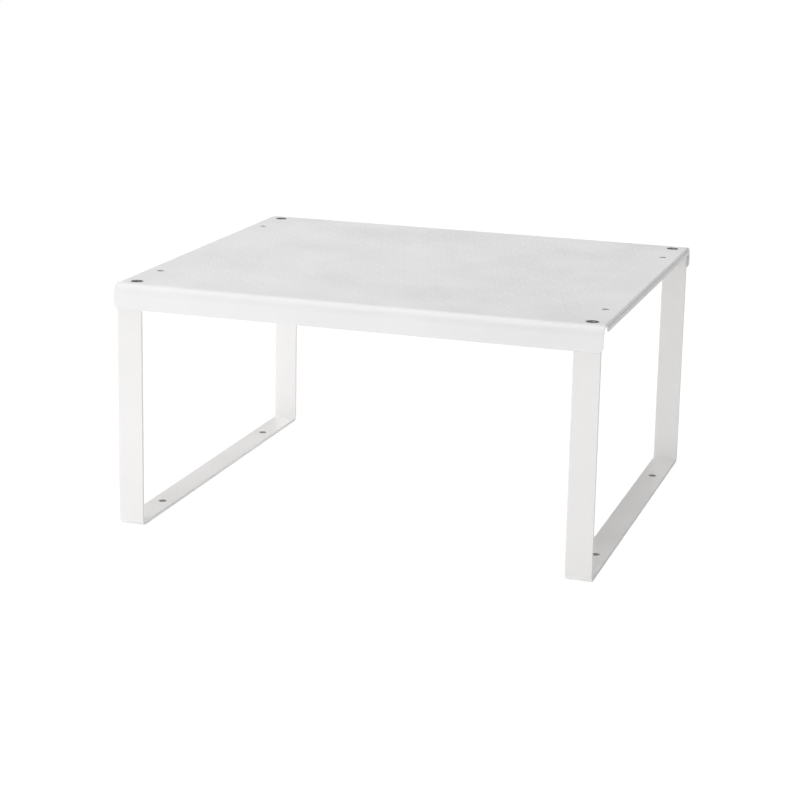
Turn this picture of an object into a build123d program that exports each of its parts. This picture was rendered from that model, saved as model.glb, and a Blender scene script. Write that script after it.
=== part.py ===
from build123d import *
import os
from math import sqrt

# A one-tier shelf riser for a cupboard: a pressed sheet-metal shelf on two bent flat-bar legs.
# Millimetres. X runs along the shelf's width, Y from the front (-Y) to the rear, Z up.
# The origin is on the standing surface, under the middle of the shelf.

# Overall size
shelf_width = 320.0
shelf_depth = 280.0
riser_height = 160.0

# Shelf plate: one sheet, with a tall skirt turned down at front and rear and a short flange at each side
sheet = 1.0
skirt_height = 16.0
skirt_bend = 7.0
skirt_corner = 3.5
skirt_end_inset = 1.0
flange_height = 4.5
flange_bend = 2.5
flange_corner = 1.0
flange_setback = 9.0
relief_width = 1.0

# Legs: flat bar bent to a U, with a tab turned in at the top of each upright
bar_width = 17.0
bar_thickness = 2.0
bar_to_skirt = 0.8
bend_ease = 0.5
foot_bend = 4.0
tab_length = 27.0
tab_corner = 2.5

# Corner screws: countersunk, cross recess, sized from the thread diameter
thread_diameter = 4.0
screw_length = 8.0
screw_setback = 14.0
head_rim = 0.25
head_sink = 0.1
screw_hole_clearance = 0.3
dimple_clearance = 0.3
nut_thread_clearance = 0.05

# Stacking holes: the bottom bars' holes and the shelf's line up when one riser stands on another
stacking_hole_diameter = 4.5
stacking_hole_setback = 50.0

# Places worked out from the sizes above
half_width = shelf_width / 2
half_depth = shelf_depth / 2
shelf_underside = riser_height - sheet
tab_underside = shelf_underside - bar_thickness
skirt_half_length = half_width - skirt_end_inset
flange_half_length = half_depth - flange_setback
bar_centre_x = half_width - flange_bend - bar_width / 2
bar_outer_y = half_depth - sheet - bar_to_skirt
shoulder_bend = skirt_bend - sheet + bend_ease
screw_y = half_depth - screw_setback
stacking_y = half_depth - stacking_hole_setback

# Fastener proportions of a metric countersunk screw and a standard hex nut
thread_radius = thread_diameter / 2
head_radius = thread_diameter
nut_flats = 1.75 * thread_diameter
nut_height = 0.8 * thread_diameter
recess_span = 1.1 * thread_diameter
recess_wing = 0.25 * thread_diameter
recess_foot = 0.4 * thread_diameter
recess_depth = 0.4 * thread_diameter
point_chamfer = 0.12 * thread_diameter

# The 90 degree seat: the head's cone and the dimple's cone are the same surface
seat_radius = head_radius + head_sink + head_rim
dimple_bore = thread_radius + screw_hole_clearance
seat_bottom = riser_height - (seat_radius - dimple_bore)
dimple_lip = min(0.8 * sheet, (seat_bottom - tab_underside) / 2)
dimple_bottom = seat_bottom - dimple_lip
dimple_bottom_radius = dimple_bore + sqrt(2) * sheet - dimple_lip
dimple_top_radius = dimple_bottom_radius + shelf_underside - dimple_bottom
tab_sink_radius = dimple_top_radius + dimple_clearance

corners = {
    "front_left": (-bar_centre_x, -screw_y),
    "front_right": (bar_centre_x, -screw_y),
    "rear_left": (-bar_centre_x, screw_y),
    "rear_right": (bar_centre_x, screw_y),
}


def upright_plane(x, y):
    """A vertical plane through (x, y) that faces the front, for profiles turned about that place."""
    return Plane(origin=(x, y, 0), x_dir=(1, 0, 0), z_dir=(0, -1, 0))


# ---- Shelf plate ----

with BuildPart() as shelf_plate:
    # Front-to-rear section: the top with a skirt turned down at each end
    with BuildSketch(Plane.YZ.offset(-skirt_half_length)):
        with BuildLine():
            FilletPolyline(
                (-half_depth, riser_height - skirt_height),
                (-half_depth, riser_height),
                (half_depth, riser_height),
                (half_depth, riser_height - skirt_height),
                radius=skirt_bend,
            )
            offset(amount=sheet, side=Side.RIGHT)
        make_face()
    extrude(amount=2 * skirt_half_length)
    skirt_corners = shelf_plate.edges().filter_by(Axis.Y).group_by(Axis.Z)[0]
    fillet(skirt_corners, skirt_corner)

    # The top is cut back along each side to where the side flange's bend begins
    with BuildSketch(Plane.XY.offset(shelf_underside)):
        with Locations((half_width, 0), (-half_width, 0)):
            Rectangle(2 * flange_bend, 2 * (flange_half_length + relief_width))
    extrude(amount=sheet, mode=Mode.SUBTRACT)

    # Side flanges, with rounded lower corners
    with BuildSketch(Plane.XZ.offset(-flange_half_length)):
        with BuildLine():
            FilletPolyline(
                (half_width - 2 * flange_bend, riser_height),
                (half_width, riser_height),
                (half_width, riser_height - flange_height),
                radius=flange_bend,
            )
            offset(amount=sheet, side=Side.RIGHT)
        make_face()
        mirror(about=Plane.YZ)
    extrude(amount=2 * flange_half_length)
    short_edges = shelf_plate.edges().filter_by(Axis.X).filter_by(lambda edge: edge.length < 2 * sheet)
    flange_ends = short_edges.group_by(Axis.Z)[0]
    fillet(flange_ends, flange_corner)

    # Pressed screw seats
    with Locations(*[(x, y, riser_height) for x, y in corners.values()]):
        Hole(radius=dimple_top_radius, depth=sheet)
    for corner_x, corner_y in corners.values():
        with BuildSketch(upright_plane(corner_x, corner_y)):
            with BuildLine():
                Polyline(
                    (seat_radius, riser_height),
                    (dimple_bore, seat_bottom),
                    (dimple_bore, dimple_bottom),
                    (dimple_bottom_radius, dimple_bottom),
                    (dimple_top_radius, shelf_underside),
                    (dimple_top_radius, riser_height),
                    close=True,
                )
            make_face()
        revolve(axis=Axis((corner_x, corner_y, 0), (0, 0, 1)))

    # Stacking holes
    with Locations((0, 0, riser_height)):
        with GridLocations(2 * bar_centre_x, 2 * stacking_y, 2, 2):
            Hole(radius=stacking_hole_diameter / 2, depth=sheet)

shelf_plate.part.label = "shelf_plate"


# ---- Legs ----

with BuildPart() as leg:
    # The bar's outer face, from tab to tab round the U. The tabs lie on the flat of the shelf,
    # so the bar stands in from the side by the side flange's bend.
    with BuildSketch(Plane.YZ.offset(bar_centre_x - bar_width / 2)):
        with BuildLine():
            FilletPolyline(
                (tab_length - bar_outer_y, shelf_underside),
                (-bar_outer_y, shelf_underside),
                (-bar_outer_y, 0),
                (bar_outer_y, 0),
                (bar_outer_y, shelf_underside),
                (bar_outer_y - tab_length, shelf_underside),
                radius=[shoulder_bend, foot_bend, foot_bend, shoulder_bend],
            )
            offset(amount=bar_thickness, side=Side.LEFT)
        make_face()
    extrude(amount=bar_width)

    # Rounded tab ends
    tab_edges = leg.edges().filter_by(Axis.Z).filter_by(lambda edge: edge.center().Z > tab_underside)
    fillet(tab_edges, tab_corner)

    # A sink in each tab takes the underside of the shelf's pressed seat
    with Locations((bar_centre_x, screw_y, shelf_underside), (bar_centre_x, -screw_y, shelf_underside)):
        CounterSinkHole(
            radius=thread_radius + screw_hole_clearance,
            counter_sink_radius=tab_sink_radius,
            depth=bar_thickness,
            counter_sink_angle=90,
        )

    # Stacking holes in the bottom run
    with Locations((bar_centre_x, stacking_y, bar_thickness), (bar_centre_x, -stacking_y, bar_thickness)):
        Hole(radius=stacking_hole_diameter / 2, depth=bar_thickness)

right_leg = leg.part
right_leg.label = "right_leg"
left_leg = leg.part.mirror(Plane.YZ)
left_leg.label = "left_leg"


# ---- Corner screw ----

head_top = riser_height - head_sink
cone_top = head_top - head_rim
screw_tip = riser_height - screw_length

with BuildPart() as screw:
    with BuildSketch(Plane.XZ):
        with BuildLine():
            Polyline(
                (0, head_top),
                (head_radius, head_top),
                (head_radius, cone_top),
                (thread_radius, cone_top - (head_radius - thread_radius)),
                (thread_radius, screw_tip + point_chamfer),
                (thread_radius - point_chamfer, screw_tip),
                (0, screw_tip),
                close=True,
            )
        make_face()
    revolve(axis=Axis.Z)

    # Cross recess: two crossed wings whose ends slope in towards the bottom
    for wing_plane in (Plane.XZ, Plane.YZ):
        with BuildSketch(wing_plane):
            with BuildLine():
                Polyline(
                    (-recess_span / 2, head_top),
                    (recess_span / 2, head_top),
                    (recess_foot / 2, head_top - recess_depth),
                    (-recess_foot / 2, head_top - recess_depth),
                    close=True,
                )
            make_face()
        extrude(amount=recess_wing / 2, both=True, mode=Mode.SUBTRACT)


# ---- Hex nut ----

nut_corner_radius = nut_flats / sqrt(3)
nut_chamfer = nut_corner_radius - nut_flats / 2
nut_chamfer_height = nut_chamfer / sqrt(3)
nut_bottom = tab_underside - nut_height
nut_bore = thread_radius + nut_thread_clearance

with BuildPart() as nut:
    with BuildSketch(Plane.XY.offset(nut_bottom)):
        RegularPolygon(radius=nut_flats / 2, side_count=6, major_radius=False)
    extrude(amount=nut_height)

    # The hexagon's corners are chamfered at both faces
    with BuildSketch(Plane.XZ):
        with BuildLine():
            Polyline(
                (0, nut_bottom),
                (nut_flats / 2, nut_bottom),
                (nut_corner_radius, nut_bottom + nut_chamfer_height),
                (nut_corner_radius, tab_underside - nut_chamfer_height),
                (nut_flats / 2, tab_underside),
                (0, tab_underside),
                close=True,
            )
        make_face()
    revolve(axis=Axis.Z, mode=Mode.INTERSECT)
    with Locations((0, 0, tab_underside)):
        Hole(radius=nut_bore, depth=nut_height)


# ---- Write each piece ----

pieces = [shelf_plate.part, left_leg, right_leg]
for corner_name, (corner_x, corner_y) in corners.items():
    for kind, fastener in (("screw", screw), ("nut", nut)):
        placed = fastener.part.moved(Location((corner_x, corner_y, 0)))
        placed.label = f"{corner_name}_{kind}"
        pieces.append(placed)

os.makedirs("parts", exist_ok=True)
for piece in pieces:
    export_step(piece, f"parts/{piece.label}.step")
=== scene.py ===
from math import ceil, cos, hypot, pi, radians, sin, tan

import bpy
from mathutils import Matrix, Vector
from mathutils.geometry import delaunay_2d_cdt


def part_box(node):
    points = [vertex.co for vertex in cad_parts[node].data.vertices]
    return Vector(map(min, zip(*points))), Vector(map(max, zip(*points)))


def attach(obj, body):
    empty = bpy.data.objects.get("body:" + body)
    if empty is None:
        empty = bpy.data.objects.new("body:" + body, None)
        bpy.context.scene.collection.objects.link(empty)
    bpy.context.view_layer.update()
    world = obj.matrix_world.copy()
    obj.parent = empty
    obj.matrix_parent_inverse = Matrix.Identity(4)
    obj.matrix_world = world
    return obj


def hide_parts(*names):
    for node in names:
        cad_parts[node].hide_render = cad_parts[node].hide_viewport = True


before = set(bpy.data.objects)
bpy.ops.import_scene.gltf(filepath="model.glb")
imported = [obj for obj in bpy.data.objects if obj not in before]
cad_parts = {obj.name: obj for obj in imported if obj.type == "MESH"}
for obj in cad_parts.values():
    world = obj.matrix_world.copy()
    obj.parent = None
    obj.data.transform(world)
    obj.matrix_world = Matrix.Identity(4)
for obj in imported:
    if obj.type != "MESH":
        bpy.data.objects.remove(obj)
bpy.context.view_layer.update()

# A shelf riser: a pressed sheet-metal shelf on two bent flat-bar legs, held by four countersunk screws
# and nuts. Lengths are in millimetres until a mesh is made. X is the width, Y runs front to rear, Z is up.
# The outer sizes come from the frame; the press tool's and the bending tool's sizes are below.

MM = 0.001


def frame_box(node):
    """A frame node's lowest and highest corners, in millimetres."""
    low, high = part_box(node)
    return low / MM, high / MM


shelf_low, shelf_high = frame_box("shelf_plate")
leg_low, leg_high = frame_box("right_leg")
screw_low, screw_high = frame_box("front_right_screw")
nut_low, nut_high = frame_box("front_right_nut")

# Shelf plate
top = shelf_high.z
half_width = shelf_high.x
half_depth = shelf_high.y
skirt_bottom = shelf_low.z
sheet = 1.0
skirt_bend = 7.0
skirt_end_inset = 1.0
skirt_corner = 3.5
flange_bend = 2.5
flange_height = 4.5
flange_corner = 1.0
flange_setback = 9.0
relief_width = 1.0
relief_depth = 0.3
sheet_edge_round = 0.22

# Legs
bar_centre_x = (leg_low.x + leg_high.x) / 2
bar_width = leg_high.x - leg_low.x
bar_outer_y = leg_high.y
leg_top = leg_high.z
bar_thickness = 2.0
foot_bend = 4.0
shoulder_bend = 6.5
bar_edge_round = 0.4
tab_length = 27.0
tab_corner = 2.5

# Screw places, the pressed seats and the tabs' sinks that take them
screw_y = (screw_low.y + screw_high.y) / -2
seat_hole = 2.3
seat_radius = 4.35
seat_depth = 2.05
seat_back_radius = 4.76
seat_back_depth = 1.52
seat_softness = 0.3
tab_sink_radius = 5.06
tab_sink_depth = 1.8
tab_sink_softness = 0.1

# Stacking holes
stacking_hole = 2.25
stacking_y = 90.0

# Pressed grip marks: staggered columns of shallow round dimples
mark_column_pitch = 6.5
mark_row_pitch = 13.3
mark_radius = 1.9
mark_depth = 0.22
mark_margin_x = 17.0
mark_margin_y = 15.0
mark_clear_of_screw = 10.0
mark_ring_points = 12
mark_rings = (1.0, 0.7, 0.35)

# How finely curves are cut
bend_steps = 8
corner_steps = 6
hole_points = 32
longest_step = 9.0


# ---------------------------------------------------------------- folding a flat blank


def folded(s, depth, runs, bends):
    """A point's place along and down once the blank is folded, from the middle of its first run.

    s is the distance from the middle on the outer face, and depth is how far under that face.
    Each run but the last ends in a quarter bend towards the inner side, of the outer radius in bends.
    """
    side = -1 if s < 0 else 1
    left = abs(s)
    turned = 0.0
    along, down = 0.0, 0.0
    for number, run in enumerate(runs):
        last = number == len(runs) - 1
        step = left if last else min(left, run)
        along += step * cos(turned)
        down += step * sin(turned)
        left -= step
        if last or left <= 0:
            break
        bend = bends[number]
        centre_along = along - bend * sin(turned)
        centre_down = down + bend * cos(turned)
        arc = min(left, bend * pi / 2)
        turned += arc / bend
        along = centre_along + bend * sin(turned)
        down = centre_down - bend * cos(turned)
        left -= arc
    return side * (along - depth * sin(turned)), down + depth * cos(turned)


def bend_rows(start, bend):
    """Distances from the middle at which a quarter bend is divided."""
    return [start + bend * pi / 2 * k / bend_steps for k in range(bend_steps + 1)]


def arc_points(centre, radius, start, end, steps):
    """Points on an arc, from angle start to angle end in degrees."""
    angles = [radians(start + (end - start) * k / steps) for k in range(steps + 1)]
    return [(centre[0] + radius * cos(a), centre[1] + radius * sin(a)) for a in angles]


def hole_loop(centre, radius, points=hole_points):
    """A round hole's edge, run clockwise so that the metal is on its left."""
    return arc_points(centre, radius, 360, 360 / points, points - 1)


def ring(centre, radius, points=hole_points):
    """A closed ring of points that the face's mesh follows."""
    return arc_points(centre, radius, 0, 360 - 360 / points, points - 1), True


def row_across(start, end):
    """A straight row of points that the face's mesh follows."""
    (u0, v0), (u1, v1) = start, end
    steps = max(1, ceil(hypot(u1 - u0, v1 - v0) / longest_step))
    return [(u0 + (u1 - u0) * k / steps, v0 + (v1 - v0) * k / steps) for k in range(steps + 1)], False


def round_pairs(loop):
    """Each item of a closed loop with the one after it."""
    return list(zip(loop, loop[1:] + loop[:1]))


def band(upper, lower):
    """Four-sided faces between two closed rows of point numbers."""
    return [[a, b, d, c] for (a, c), (b, d) in zip(round_pairs(upper), round_pairs(lower))]


def with_more_points(loop):
    """The closed loop with its long sides divided."""
    divided = []
    for start, end in round_pairs(loop):
        divided += row_across(start, end)[0][:-1]
    return divided


def all_quarters(quarter):
    """A whole anticlockwise outline from the quarter between the +u and +v axes."""
    same_place = 1e-6
    turned_back = quarter[::-1]
    loop = quarter + [(-u, v) for u, v in turned_back]
    loop += [(-u, -v) for u, v in quarter] + [(u, -v) for u, v in turned_back]
    return [p for p, q in round_pairs(loop) if hypot(p[0] - q[0], p[1] - q[1]) > same_place]


def moved_into_metal(loop, distance):
    """The closed loop moved to its left, which is the metal's side."""
    moved = []
    for before, at, after in zip(loop[-1:] + loop[:-1], loop, loop[1:] + loop[:1]):
        into = Vector((at[0] - before[0], at[1] - before[1])).normalized()
        out = Vector((after[0] - at[0], after[1] - at[1])).normalized()
        share = distance / (1 + into.dot(out))
        moved.append((at[0] - (into.y + out.y) * share, at[1] + (into.x + out.x) * share))
    return moved


def face_normal(u, v, depth, place):
    """The folded face's normal, from two short steps on it."""
    step = 0.01
    across = place(u + step, v, depth(u + step, v)) - place(u - step, v, depth(u - step, v))
    up = place(u, v + step, depth(u, v + step)) - place(u, v - step, depth(u, v - step))
    return across.cross(up).normalized()


def filled(points, links, regions):
    """Flat points joined to triangles along the links, and kept inside the first region's loop.

    Also gives, for each resulting spot, the numbers of the points that it came from.
    """
    only_inside, tolerance, with_sources = 1, 1e-5, True
    spots, _, triangles, sources, _, owners = delaunay_2d_cdt(
        [Vector(p) for p in points], links, regions, only_inside, tolerance, with_sources
    )
    return spots, [t for t, owner in zip(triangles, owners) if list(owner) == [0]], sources


def folded_sheet(name, outline, holes, guides, edge_round, front, back, place):
    """A solid sheet cut to its outline, pressed and folded, with softly rounded cut edges.

    outline and holes are closed loops on the flat blank with the metal on their left. guides are rows and
    rings that the mesh follows. front and back give the two faces' depths, and place folds a point.
    The holes' walls are in the second material slot. That slot is painted shade: a grey steel, darker than
    the white coat, stands in for the shade inside the holes.
    """
    loops = [outline] + holes
    points, links, rims = [], [], []
    for loop in loops:
        first = len(points)
        points += moved_into_metal(loop, edge_round)
        rims.append(list(range(first, len(points))))
        links += round_pairs(rims[-1])
    for guide, closed in guides:
        first = len(points)
        points += guide
        row = list(range(first, len(points)))
        links += round_pairs(row) if closed else zip(row, row[1:])
    regions = [rims[0]] + [rim[::-1] for rim in rims[1:]]
    spots, triangles, sources = filled(points, links, regions)
    used = sorted({i for t in triangles for i in t})
    order = {spot: number for number, spot in enumerate(used)}
    spot_of = {point: order[n] for n, found in enumerate(sources) if n in order for point in found}

    places, normals, polygons, shade_painted_walls = [], [], [], []
    for depth, outward in ((front, 1), (back, -1)):
        first = len(places)
        for spot in used:
            u, v = spots[spot]
            places.append(place(u, v, depth(u, v)))
            normals.append(face_normal(u, v, depth, place) * outward)
        for triangle in triangles:
            polygons.append([first + order[i] for i in triangle][::outward])

    # Each cut edge runs round from the front face to the back face
    turns = [radians(a) for a in (30, 60, 90)]
    curve = [(edge_round * (1 - sin(a)), edge_round * (1 - cos(a))) for a in turns]
    rows_on_face = len(curve) - 1
    for loop, rim in zip(loops, rims):
        rows = [[spot_of[i] for i in rim]]
        for depth, from_face, steps in ((front, 1, curve), (back, -1, curve[::-1])):
            for inset, drop in steps:
                rows.append(list(range(len(places), len(places) + len(loop))))
                for u, v in moved_into_metal(loop, inset):
                    places.append(place(u, v, depth(u, v) + from_face * drop))
                    normals.append(Vector((0, 0, 0)))
        rows.append([len(used) + spot_of[i] for i in rim])
        for number, (upper, lower) in enumerate(zip(rows, rows[1:])):
            # The holes' walls, past the front face's rounding, get the painted-shade steel of the second
            # slot
            if loop is not outline and number >= rows_on_face:
                shade_painted_walls += range(len(polygons), len(polygons) + len(loop))
            polygons += band(upper, lower)
    piece = new_piece(name, places, polygons, normals)
    for polygon in shade_painted_walls:
        piece.data.polygons[polygon].material_index = 1
    return piece


def new_piece(name, places, polygons, normals=None):
    """A smooth-shaded mesh object from millimetre places. A zero normal is left to the faces around it."""
    mesh = bpy.data.meshes.new(name)
    mesh.from_pydata([p * MM for p in places], [], polygons)
    mesh.polygons.foreach_set("use_smooth", [True] * len(mesh.polygons))
    if normals:
        mesh.normals_split_custom_set_from_vertices(normals)
    piece = bpy.data.objects.new(name, mesh)
    bpy.context.scene.collection.objects.link(piece)
    return piece


# ---------------------------------------------------------------- shelf plate

flat_half_width = half_width - flange_bend
flat_half_depth = half_depth - skirt_bend
skirt_half_length = half_width - skirt_end_inset
skirt_run = top - skirt_bottom - skirt_bend
flange_half_length = half_depth - flange_setback
flange_run = flange_height - flange_bend
skirt_rows = bend_rows(flat_half_depth, skirt_bend)
flange_rows = bend_rows(flat_half_width, flange_bend)
skirt_edge = skirt_rows[-1] + skirt_run
flange_edge = flange_rows[-1] + flange_run
relief_end = flange_half_length + relief_width

# A quarter of the blank: side flange, bend relief, then the end of the skirt
quarter_blank = [(flange_edge, 0)]
quarter_blank += arc_points(
    (flange_edge - flange_corner, flange_half_length - flange_corner), flange_corner, 0, 90, corner_steps
)
quarter_blank += [(u, flange_half_length) for u in flange_rows[::-1]]
quarter_blank += [(flat_half_width - relief_depth, flange_half_length)]
quarter_blank += [(flat_half_width - relief_depth, relief_end)]
quarter_blank += [(skirt_half_length, relief_end)]
quarter_blank += [(skirt_half_length, v) for v in skirt_rows]
quarter_blank += arc_points(
    (skirt_half_length - skirt_corner, skirt_edge - skirt_corner), skirt_corner, 0, 90, corner_steps
)
quarter_blank += [(0, skirt_edge)]

screw_places = [(x, y) for x in (-bar_centre_x, bar_centre_x) for y in (-screw_y, screw_y)]
stacking_places = [(x, y) for x in (-bar_centre_x, bar_centre_x) for y in (-stacking_y, stacking_y)]


def grip_marks():
    """Places of the pressed marks, by column and row."""
    marks = {}
    reach_x = half_width - mark_margin_x
    reach_y = half_depth - mark_margin_y
    for column in range(-ceil(reach_x / mark_column_pitch), ceil(reach_x / mark_column_pitch) + 1):
        for row in range(-ceil(reach_y / mark_row_pitch), ceil(reach_y / mark_row_pitch) + 1):
            x = column * mark_column_pitch
            y = (row + 0.5 * (column % 2)) * mark_row_pitch
            clear = min(hypot(x - sx, y - sy) for sx, sy in screw_places + stacking_places)
            if abs(x) < reach_x and abs(y) < reach_y and clear > mark_clear_of_screw:
                marks[column, row] = (x, y)
    return marks


marks = grip_marks()


def cone_depth(distance, radius, softness):
    """Depth of a 45 degree cone whose upper rim is softly rounded."""
    if distance >= radius + softness:
        return 0.0
    if distance <= radius - softness:
        return radius - distance
    return (radius + softness - distance) ** 2 / (4 * softness)


def pressed_depth(u, v, radius, floor_depth):
    """How far the press has pushed the sheet down at a point of the blank."""
    for x, y in screw_places:
        distance = hypot(u - x, v - y)
        if distance < radius + seat_softness:
            return min(cone_depth(distance, radius, seat_softness), floor_depth)
    column = round(u / mark_column_pitch)
    row = round(v / mark_row_pitch - 0.5 * (column % 2))
    x, y = marks.get((column, row), (1e6, 1e6))
    distance = hypot(u - x, v - y)
    if distance < mark_radius:
        return mark_depth * (0.5 + 0.5 * cos(pi * distance / mark_radius))
    return 0.0


def shelf_front(u, v):
    """Depth of the shelf's outer face."""
    return pressed_depth(u, v, seat_radius, seat_depth)


def shelf_back(u, v):
    """Depth of the shelf's inner face."""
    return sheet + pressed_depth(u, v, seat_back_radius, seat_back_depth)


def shelf_place(u, v, depth):
    """A point of the shelf's blank once its flanges and skirts are folded."""
    if abs(v) < flange_half_length + relief_width / 2:
        across, down = folded(u, depth, (flat_half_width, flange_run), [flange_bend])
        return Vector((across, v, top - down))
    along, down = folded(v, depth, (flat_half_depth, skirt_run), [skirt_bend])
    return Vector((u, along, top - down))


def shelf_guides():
    """Rows along the bends, and rings round the screw seats and the grip marks."""
    guides = []
    skirt_reach = skirt_half_length - sheet_edge_round
    flange_reach = flange_half_length - sheet_edge_round
    for side in (-1, 1):
        for v in skirt_rows:
            guides.append(row_across((-skirt_reach, side * v), (skirt_reach, side * v)))
        for u in flange_rows:
            guides.append(row_across((side * u, -flange_reach), (side * u, flange_reach)))
    rims = [seat_radius + seat_softness * k for k in (-1, -0.33, 0.33, 1)]
    rims += [seat_back_radius + seat_softness * k for k in (0, 1)]
    rims += [seat_back_radius - seat_back_depth]
    for place in screw_places:
        guides += [ring(place, radius) for radius in rims]
    for place in marks.values():
        guides += [ring(place, mark_radius * share, mark_ring_points) for share in mark_rings]
        guides.append(([place], False))
    return guides


shelf_holes = [hole_loop(place, seat_hole) for place in screw_places]
shelf_holes += [hole_loop(place, stacking_hole) for place in stacking_places]
shelf = folded_sheet(
    "pressed_shelf", with_more_points(all_quarters(quarter_blank)), shelf_holes, shelf_guides(),
    sheet_edge_round, shelf_front, shelf_back, shelf_place,
)


# ---------------------------------------------------------------- legs

bar_half_width = bar_width / 2
base_run = bar_outer_y - foot_bend
upright_run = leg_top - foot_bend - shoulder_bend
tab_run = tab_length - shoulder_bend
foot_rows = bend_rows(base_run, foot_bend)
shoulder_rows = bend_rows(foot_rows[-1] + upright_run, shoulder_bend)
tab_end = shoulder_rows[-1] + tab_run
tab_hole_u = shoulder_rows[-1] + bar_outer_y - screw_y - shoulder_bend
tab_hole = tab_sink_radius - tab_sink_depth

quarter_bar = [(tab_end, 0)]
quarter_bar += arc_points(
    (tab_end - tab_corner, bar_half_width - tab_corner), tab_corner, 0, 90, corner_steps
)
quarter_bar += [(u, bar_half_width) for u in shoulder_rows[::-1] + foot_rows[::-1]]
quarter_bar += [(0, bar_half_width)]


def bar_front(u, v):
    """Depth of the bar's outer face, with the sinks that take the shelf's pressed seats."""
    distance = hypot(abs(u) - tab_hole_u, v)
    return min(cone_depth(distance, tab_sink_radius, tab_sink_softness), tab_sink_depth)


def bar_back(u, v):
    """Depth of the bar's inner face."""
    return bar_thickness


def make_leg(name, centre_x):
    """A flat bar bent to a U, with a tab turned in at the top of each upright."""

    def bar_place(u, v, depth):
        along, up = folded(u, depth, (base_run, upright_run, tab_run), (foot_bend, shoulder_bend))
        return Vector((centre_x + v, along, up))

    reach = bar_half_width - bar_edge_round
    guides = []
    for side in (-1, 1):
        for u in foot_rows + shoulder_rows:
            guides.append(row_across((side * u, -reach), (side * u, reach)))
        for softness in (-tab_sink_softness, tab_sink_softness):
            guides.append(ring((side * tab_hole_u, 0), tab_sink_radius + softness))
    holes = [hole_loop((side * stacking_y, 0), stacking_hole) for side in (-1, 1)]
    holes += [hole_loop((side * tab_hole_u, 0), tab_hole) for side in (-1, 1)]
    outline = with_more_points(all_quarters(quarter_bar))
    return folded_sheet(name, outline, holes, guides, bar_edge_round, bar_front, bar_back, bar_place)


left_leg = make_leg("left_bent_bar", -bar_centre_x)
right_leg = make_leg("right_bent_bar", bar_centre_x)


# ---------------------------------------------------------------- screws and nuts

turn_steps = 48

# M4 thread: its crests are cut flat, it fades in under the head and ends at the chamfered tip
thread_pitch = 0.7
thread_radius = 2.0
thread_depth = 0.35
thread_steepness = 1.25
thread_rows_per_pitch = 7
thread_fade_rows = 4
neck_gap = 0.1
neck_fillet = 0.05
tip_height = 0.3
tip_chamfer = 0.5
tip_round = 0.2
tip_round_height = 0.02

# Countersunk head, very slightly crowned, with a softly rounded rim
head_radius = (screw_high.x - screw_low.x) / 2
head_top = screw_high.z
screw_tip = screw_low.z
head_rim = 0.25
head_round = 0.08
head_drop = 0.02
head_crown = 0.018
crown_rings = (3.5, 3.0, 2.6)

# Cross recess: each level is a share of the mouth's reach and a depth
recess_reach = 2.2
recess_half_wing = 0.5
recess_flute = 0.35
recess_depth = 1.6
recess_levels = ((0.97, 0.08), (0.62, 0.9), (0.38, 1.35))
recess_wall_wing = 0.94
recess_wing_taper = 0.3
recess_wall_flute = 0.3

# Hexagon nut
nut_flats = nut_high.y - nut_low.y
nut_bore_gap = 0.06
nut_bore_chamfer = 0.35
nut_face_inset = 0.25
nut_flat_drop = 0.12
nut_chamfer_angle = radians(30)
nut_edge_round = 0.02
nut_edge_drop = 0.08


def turned_rows(centre, rows, polygons, places):
    """Joins rows of points turned about a vertical axis. A row is a function of the angle."""
    numbers = []
    for row in rows:
        numbers.append(list(range(len(places), len(places) + turn_steps)))
        for k in range(turn_steps):
            angle = 2 * pi * k / turn_steps
            radius, z = row(angle)
            places.append(Vector((centre[0] + radius * cos(angle), centre[1] + radius * sin(angle), z)))
    for upper, lower in zip(numbers, numbers[1:]):
        polygons += band(upper, lower)
    return numbers


def level_row(radius, z):
    """A row that is the same all the way round."""
    return lambda angle: (radius, z)


def recess_outline(reach, half_wing, flute):
    """A cross, anticlockwise, with rounded inner corners."""
    loop = []
    for quarter in range(4):
        corner = half_wing + flute
        inner = arc_points((corner, corner), flute, 270, 180, 3)
        points = [(reach, -half_wing), (reach, half_wing)] + inner
        turn = quarter * pi / 2
        loop += [(x * cos(turn) - y * sin(turn), x * sin(turn) + y * cos(turn)) for x, y in points]
    return loop


def thread_rows(start, end):
    """Rows of a screw thread from start down to end."""
    count = ceil((start - end) / thread_pitch * thread_rows_per_pitch)

    def thread_row(number):
        z = start - (start - end) * number / count

        def at(angle):
            phase = (z / thread_pitch - angle / (2 * pi)) % 1
            crest = min(1, thread_steepness * (1 - abs(2 * phase - 1)))
            fade = min(1, number / thread_fade_rows)
            return thread_radius - thread_depth * (1 - crest) * fade, z

        return at

    return [thread_row(number) for number in range(1, count + 1)]


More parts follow.
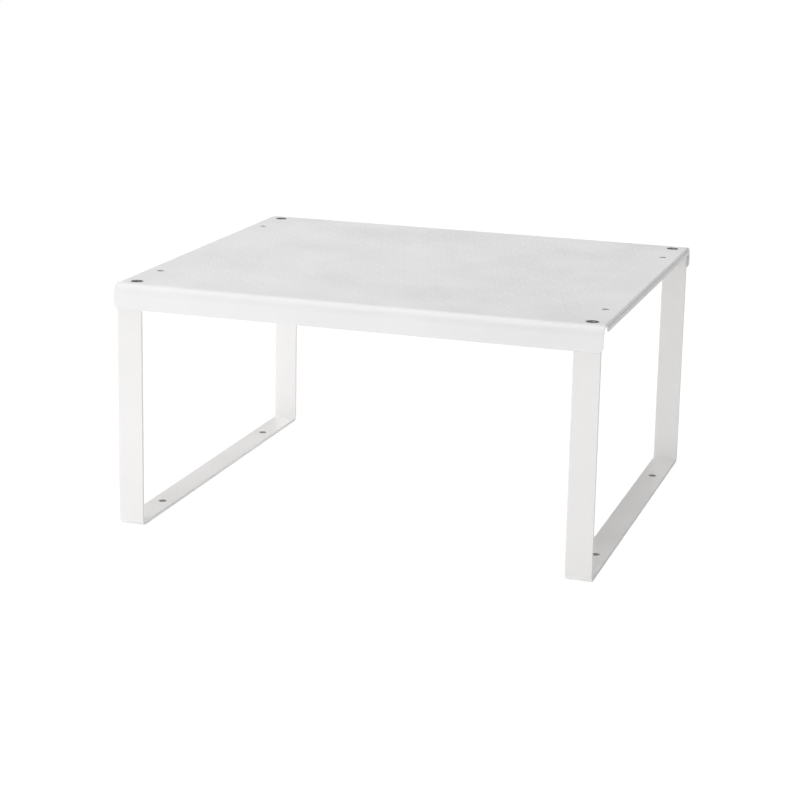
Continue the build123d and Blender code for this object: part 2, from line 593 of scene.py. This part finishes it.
def make_screw(name, centre):
    """A countersunk machine screw with a cross recess and a rolled thread."""
    places, polygons = [], []
    cone_top = head_top - head_rim
    thread_start = cone_top - (head_radius - thread_radius) - neck_gap
    rows = [
        level_row(head_radius - 2 * head_round, head_top - head_drop),
        level_row(head_radius - 0.6 * head_round, head_top - 0.5 * head_round),
        level_row(head_radius, head_top - 1.5 * head_round),
        level_row(head_radius, cone_top),
        level_row(thread_radius + neck_fillet, thread_start + neck_gap + neck_fillet),
        level_row(thread_radius - neck_gap, thread_start),
    ]
    rows += thread_rows(thread_start, screw_tip + tip_height)
    rows += [level_row(thread_radius - tip_chamfer, screw_tip + tip_round_height)]
    rows += [level_row(thread_radius - tip_chamfer - tip_round, screw_tip)]
    numbers = turned_rows(centre, rows, polygons, places)
    polygons.append(numbers[-1][::-1])

    # The head's face, filled between its rim and the recess
    rim = [(places[i].x - centre[0], places[i].y - centre[1]) for i in numbers[0]]
    loops = [rim] + [ring((0, 0), radius, turn_steps)[0] for radius in crown_rings]
    loops += [recess_outline(recess_reach, recess_half_wing, recess_flute)]
    points, links, spans = [], [], []
    for loop in loops:
        spans.append(list(range(len(points), len(points) + len(loop))))
        links += round_pairs(spans[-1])
        points += loop
    spots, triangles, sources = filled(points, links, [spans[0], spans[-1]])
    number_of = {}
    for spot, found in enumerate(sources):
        if found and found[0] < turn_steps:
            number_of[spot] = numbers[0][found[0]]
            continue
        x, y = spots[spot]
        number_of[spot] = len(places)
        dome = head_crown * (1 - (hypot(x, y) / head_radius) ** 2)
        places.append(Vector((centre[0] + x, centre[1] + y, head_top - head_drop + dome)))
    polygons += [[number_of[i] for i in triangle] for triangle in triangles]

    # The recess: sloping wings down to a pointed foot
    spot_at = {source: spot for spot, found in enumerate(sources) for source in found}
    wall = [number_of[spot_at[i]] for i in spans[-1]]
    for share, down in recess_levels:
        half_wing = recess_half_wing * (recess_wall_wing - recess_wing_taper * (1 - share))
        loop = recess_outline(recess_reach * share, half_wing, recess_wall_flute * share)
        next_wall = list(range(len(places), len(places) + len(loop)))
        for x, y in loop:
            places.append(Vector((centre[0] + x, centre[1] + y, head_top - down)))
        polygons += [[a, c, d, b] for a, b, d, c in band(wall, next_wall)]
        wall = next_wall
    foot = len(places)
    places.append(Vector((centre[0], centre[1], head_top - recess_depth)))
    polygons += [[a, b, foot] for a, b in round_pairs(wall)]
    return new_piece(name, places, polygons)


def make_nut(name, centre):
    """A hexagon nut with chamfered corners and a plain round bore, chamfered at both ends."""
    low, high = nut_low.z, nut_high.z
    flat = nut_flats / 2
    bore = thread_radius + nut_bore_gap

    def side_row(face, into, inset, drop):
        """A row on the six sides, further from the face at the corners, where the chamfer cuts deeper."""

        def at(angle):
            side = flat / cos((angle % (pi / 3)) - pi / 6)
            chamfer = (side - flat) * tan(nut_chamfer_angle) + nut_flat_drop
            return side - inset, face + into * (chamfer + drop)

        return at

    rows = [
        level_row(bore, (low + high) / 2),
        level_row(bore, high - nut_bore_chamfer),
        level_row(bore + nut_bore_chamfer, high),
        level_row(flat - nut_face_inset, high),
        side_row(high, -1, nut_edge_round, 0),
        side_row(high, -1, 0, nut_edge_drop),
        side_row(low, 1, 0, nut_edge_drop),
        side_row(low, 1, nut_edge_round, 0),
        level_row(flat - nut_face_inset, low),
        level_row(bore + nut_bore_chamfer, low),
        level_row(bore, low + nut_bore_chamfer),
        level_row(bore, (low + high) / 2),
    ]
    places, polygons = [], []
    numbers = turned_rows(centre, rows, polygons, places)
    first, last = numbers[0], numbers[-1]
    same = dict(zip(last, first))
    polygons = [[same.get(i, i) for i in polygon] for polygon in polygons]
    return new_piece(name, places[: last[0]], polygons)


screws, nuts = {}, {}
for front_rear, y in (("front", -screw_y), ("rear", screw_y)):
    for left_right, x in (("left", -bar_centre_x), ("right", bar_centre_x)):
        corner = f"{front_rear}_{left_right}"
        screws[corner] = make_screw(f"{corner}_countersunk_screw", (x, y))
        nuts[corner] = make_nut(f"{corner}_hex_nut", (x, y))


# ---------------------------------------------------------------- materials


def linear(hex_colour):
    """A '#rrggbb' sRGB colour as linear RGBA."""
    parts = [int(hex_colour[i : i + 2], 16) / 255 for i in (1, 3, 5)]
    return [c / 12.92 if c <= 0.04045 else ((c + 0.055) / 1.055) ** 2.4 for c in parts] + [1.0]


def add(tree, kind, links=(), **settings):
    """Adds a node. links are (socket name or number, output socket); settings are properties or inputs."""
    node = tree.nodes.new("ShaderNode" + kind)
    inputs = settings.pop("inputs", {})
    for key, value in settings.items():
        setattr(node, key, value)
    for key, value in inputs.items():
        node.inputs[key].default_value = value
    for key, output in links:
        tree.links.new(output, node.inputs[key])
    return node


def new_material(name):
    """An empty node material with its output node."""
    material = bpy.data.materials.new(name)
    material.use_nodes = True
    material.node_tree.nodes.clear()
    return material, material.node_tree


# Nearly all of a noise node's values lie between these
noise_low, noise_high = 0.3, 0.7


def per_mm(size):
    """A noise scale for features of this size in millimetres, on coordinates in metres."""
    return 1 / (size * MM)


def powder_coat(name, colour, peel_height):
    """Polyester powder coat, sprayed dry on sheet steel and baked.

    The eye gets a satin white skin with a fine orange peel, a slightly cloudy sheen and no brush marks.
    """
    material, tree = new_material(name)
    where = add(tree, "TexCoord").outputs["Object"]
    # Orange peel of 1.6 mm. The powder's own grain is really 0.1 mm, drawn at 0.5 mm so that it shows
    peel_size, grain_size, cloud_size = 1.6, 0.5, 45.0
    peel = add(tree, "TexNoise", [("Vector", where)], inputs={"Scale": per_mm(peel_size), "Detail": 2.0})
    grain = add(tree, "TexNoise", [("Vector", where)], inputs={"Scale": per_mm(grain_size), "Detail": 1.0})
    cloud = add(tree, "TexNoise", [("Vector", where)], inputs={"Scale": per_mm(cloud_size), "Detail": 3.0})
    tint = add(
        tree, "MapRange", [("Value", cloud.outputs["Fac"])],
        inputs={"From Min": noise_low, "From Max": noise_high, "To Min": 0.965, "To Max": 1.0},
    )
    base = add(
        tree, "Mix", [("B", tint.outputs["Result"])], data_type="RGBA", blend_type="MULTIPLY",
        inputs={"Factor": 1.0, "A": linear(colour)},
    )
    sheen = add(
        tree, "MapRange", [("Value", cloud.outputs["Fac"])],
        inputs={"From Min": noise_low, "From Max": noise_high, "To Min": 0.34, "To Max": 0.44},
    )
    waves = add(
        tree, "Bump", [("Height", peel.outputs["Fac"])],
        inputs={"Strength": 1.0, "Distance": peel_height * MM},
    )
    fine = add(
        tree, "Bump", [("Height", grain.outputs["Fac"]), ("Normal", waves.outputs["Normal"])],
        inputs={"Strength": 1.0, "Distance": peel_height * 0.25 * MM},
    )
    shader = add(
        tree, "BsdfPrincipled",
        [("Base Color", base.outputs["Result"]), ("Roughness", sheen.outputs["Result"]),
         ("Normal", fine.outputs["Normal"])],
        inputs={"IOR": 1.5},
    )
    add(tree, "OutputMaterial", [("Surface", shader.outputs["BSDF"])])
    return material


def steel(name, colour, patch_colour, line_size, smoothest):
    """Steel: cold-headed and zinc plated on the screws and nuts. On the holes' walls it is painted shade: a
    grey steel, darker than the white coat, stands in for the shade inside the holes.

    The eye gets a grey metal with fine tool lines, four times as long as wide, and slightly dull patches.
    """
    patch_size, line_height, dullest = 1.5, 0.006, smoothest + 0.18
    material, tree = new_material(name)
    where = add(tree, "TexCoord").outputs["Object"]
    stretched = add(tree, "Mapping", [("Vector", where)], inputs={"Scale": (1.0, 0.25, 1.0)})
    lines = add(
        tree, "TexNoise", [("Vector", stretched.outputs["Vector"])],
        inputs={"Scale": per_mm(line_size), "Detail": 2.0},
    )
    patches = add(tree, "TexNoise", [("Vector", where)], inputs={"Scale": per_mm(patch_size), "Detail": 2.0})
    tone = add(
        tree, "Mix", [("Factor", patches.outputs["Fac"])], data_type="RGBA",
        inputs={"A": linear(colour), "B": linear(patch_colour)},
    )
    rough = add(
        tree, "MapRange", [("Value", lines.outputs["Fac"])],
        inputs={"From Min": noise_low, "From Max": noise_high, "To Min": smoothest, "To Max": dullest},
    )
    bump = add(
        tree, "Bump", [("Height", lines.outputs["Fac"])],
        inputs={"Strength": 1.0, "Distance": line_height * MM},
    )
    shader = add(
        tree, "BsdfPrincipled",
        [("Base Color", tone.outputs["Result"]), ("Roughness", rough.outputs["Result"]),
         ("Normal", bump.outputs["Normal"])],
        inputs={"Metallic": 1.0},
    )
    add(tree, "OutputMaterial", [("Surface", shader.outputs["BSDF"])])
    return material


shelf_powder_coat = powder_coat("shelf_white_powder_coat", "#EFEEEE", 0.03)
leg_powder_coat = powder_coat("leg_white_powder_coat", "#EFEEED", 0.025)
screw_zinc = steel("screw_zinc_plate", "#C9CBCC", "#505255", 0.25, 0.34)
nut_zinc = steel("nut_zinc_plate", "#C6C8C9", "#A4A6A8", 0.4, 0.3)
# Painted shade: the holes' walls get a grey steel, darker than the white coat, standing in for the shade
# inside the holes
hole_shade_steel = steel("hole_wall_painted_shade", "#C8C6C4", "#A9A7A5", 0.3, 0.5)


def finish_piece(piece, node, slot, *materials):
    """The piece stands for its frame node, rides with it and takes its finish."""
    for material in materials:
        piece.data.materials.append(material)
    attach(piece, "root")
    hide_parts(node)


finish_piece(shelf, "shelf_plate", "shelf_coat", shelf_powder_coat, hole_shade_steel)
finish_piece(left_leg, "left_leg", "leg_coat", leg_powder_coat, hole_shade_steel)
finish_piece(right_leg, "right_leg", "leg_coat", leg_powder_coat, hole_shade_steel)
for corner in screws:
    finish_piece(screws[corner], f"{corner}_screw", "screw_steel", screw_zinc)
    finish_piece(nuts[corner], f"{corner}_nut", "nut_steel", nut_zinc)


# ---------------------------------------------------------------- studio

floor_reach = 30000.0
floor_drop = 0.05
floor_fill = 0.21
floor_white = 0.985
room_fill = 0.21
room_white = 1.02


def studio_floor():
    """Matt white paper, a little under the feet, lit to a clear white with a breath of contact shadow."""
    floor_corners = ((-1, -1), (1, -1), (1, 1), (-1, 1))
    places = [Vector((x * floor_reach, y * floor_reach, -floor_drop)) for x, y in floor_corners]
    paper_floor = new_piece("studio_floor", places, [[0, 1, 2, 3]])
    material, tree = new_material("white_floor_paper")
    seen = add(tree, "LightPath").outputs["Is Camera Ray"]
    paper = add(tree, "BsdfDiffuse", inputs={"Color": linear("#F4F4F4")})
    under_light = add(tree, "Emission", inputs={"Strength": floor_fill})
    lit_paper = add(tree, "AddShader", [(0, paper.outputs["BSDF"]), (1, under_light.outputs["Emission"])])
    dim_paper = add(tree, "BsdfDiffuse", inputs={"Color": linear("#4A4A4A")})
    glow = add(tree, "Emission", inputs={"Strength": floor_white})
    seen_paper = add(tree, "AddShader", [(0, dim_paper.outputs["BSDF"]), (1, glow.outputs["Emission"])])
    mix = add(
        tree, "MixShader",
        [(0, seen), (1, lit_paper.outputs["Shader"]), (2, seen_paper.outputs["Shader"])],
    )
    add(tree, "OutputMaterial", [("Surface", mix.outputs["Shader"])])
    paper_floor.data.materials.append(material)


def studio_world():
    """A white room: bright to the lens, dim as a light, so that the soft boxes shape the object."""
    world = bpy.data.worlds.new("white_studio")
    world.use_nodes = True
    tree = world.node_tree
    tree.nodes.clear()
    seen = add(tree, "LightPath").outputs["Is Camera Ray"]
    room = add(tree, "Background", inputs={"Color": linear("#FFFFFF"), "Strength": room_fill})
    wall = add(tree, "Background", inputs={"Color": linear("#FFFFFF"), "Strength": room_white})
    mix = add(
        tree, "MixShader",
        [(0, seen), (1, room.outputs["Background"]), (2, wall.outputs["Background"])],
    )
    add(tree, "OutputWorld", [("Surface", mix.outputs["Shader"])])
    bpy.context.scene.world = world


def soft_box(name, place, aim_height, size, watts, mirrored):
    """A square soft box aimed at a height over the middle. Metres. The fill lights aren't mirrored."""
    lamp = bpy.data.lights.new(name, "AREA")
    lamp.shape = "SQUARE"
    lamp.size = size
    lamp.energy = watts
    box = bpy.data.objects.new(name, lamp)
    box.location = place
    aim = Vector((0, 0, aim_height)) - Vector(place)
    box.rotation_euler = aim.to_track_quat("-Z", "Y").to_euler()
    box.visible_camera = False
    box.visible_glossy = mirrored
    bpy.context.scene.collection.objects.link(box)


studio_floor()
studio_world()
soft_box("key_soft_box", (-1.3, -1.1, 0.55), 0.08, size=1.2, watts=8.6, mirrored=True)
soft_box("front_fill", (0.1, -2.2, 0.45), 0.08, size=1.6, watts=11.7, mirrored=False)
soft_box("top_soft_box", (-0.2, -0.1, 1.7), 0.1, size=1.6, watts=14.7, mirrored=True)
soft_box("rear_fill", (0.0, 1.2, 1.5), 0.1, size=1.6, watts=7.5, mirrored=False)
soft_box("left_fill", (-1.7, 0.2, 0.8), 0.1, size=1.2, watts=13.5, mirrored=False)

# Camera: in front, a little to the right and above, on a long lens
camera_place = (0.4066, -1.2910, 0.4286)
heading, pitch, roll = radians(17.99), radians(12.81), radians(1.10)
lens = bpy.data.cameras.new("studio_camera")
lens.lens = 91.96
lens.sensor_width = 36.0
lens.shift_y = -0.1
camera = bpy.data.objects.new("studio_camera", lens)
view_line = Vector((-sin(heading) * cos(pitch), cos(heading) * cos(pitch), -sin(pitch)))
level = view_line.to_track_quat("-Z", "Y").to_matrix()
camera.location = camera_place
camera.rotation_euler = (level @ Matrix.Rotation(roll, 3, "Z")).to_euler()
bpy.context.scene.collection.objects.link(camera)
bpy.context.scene.camera = camera
bpy.context.scene.view_settings.view_transform = "Standard"
